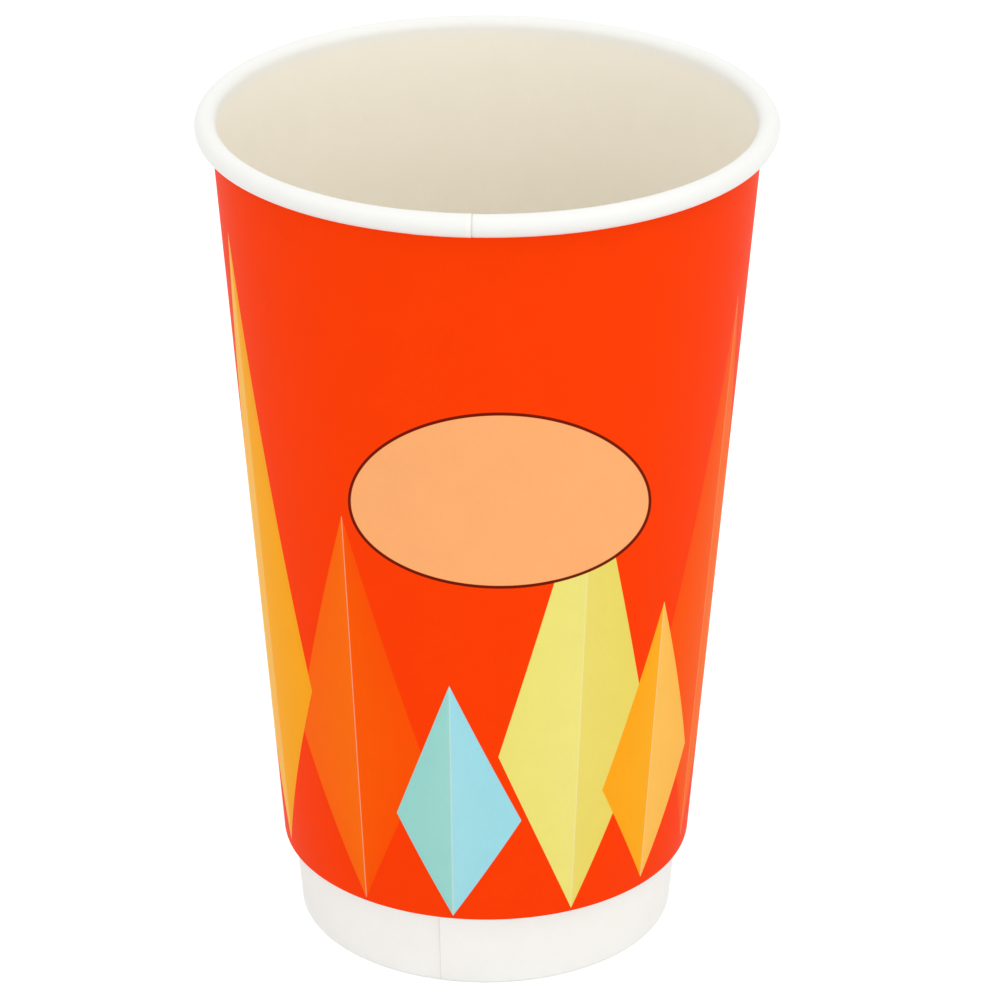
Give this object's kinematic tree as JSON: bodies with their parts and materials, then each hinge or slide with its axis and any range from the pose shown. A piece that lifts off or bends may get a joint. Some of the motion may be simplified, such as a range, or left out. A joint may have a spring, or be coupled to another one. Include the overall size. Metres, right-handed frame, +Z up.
{
  "type": "double-wall paper cup",
  "caption": "Tall tapered paper cup for hot drinks, with a rolled rim, a base set in a folded foot and a printed outer sleeve over an air gap.",
  "frame": {"origin": "on the cup's axis, in the plane that its foot stands on", "axes": "+Z up along the cup's axis; the side that faces the camera in the picture is -Y"},
  "size_m": [0.09, 0.09, 0.1379],
  "materials": {
    "wall_board": "white board with a thin satin film inside",
    "base_board": "white board with a thin satin film inside",
    "sleeve_print": "printed board, matt to satin"
  },
  "bodies": {
    "root": {"cup_wall": "wall_board", "cup_base": "base_board", "outer_sleeve": "sleeve_print"}
  },
  "joints": []
}
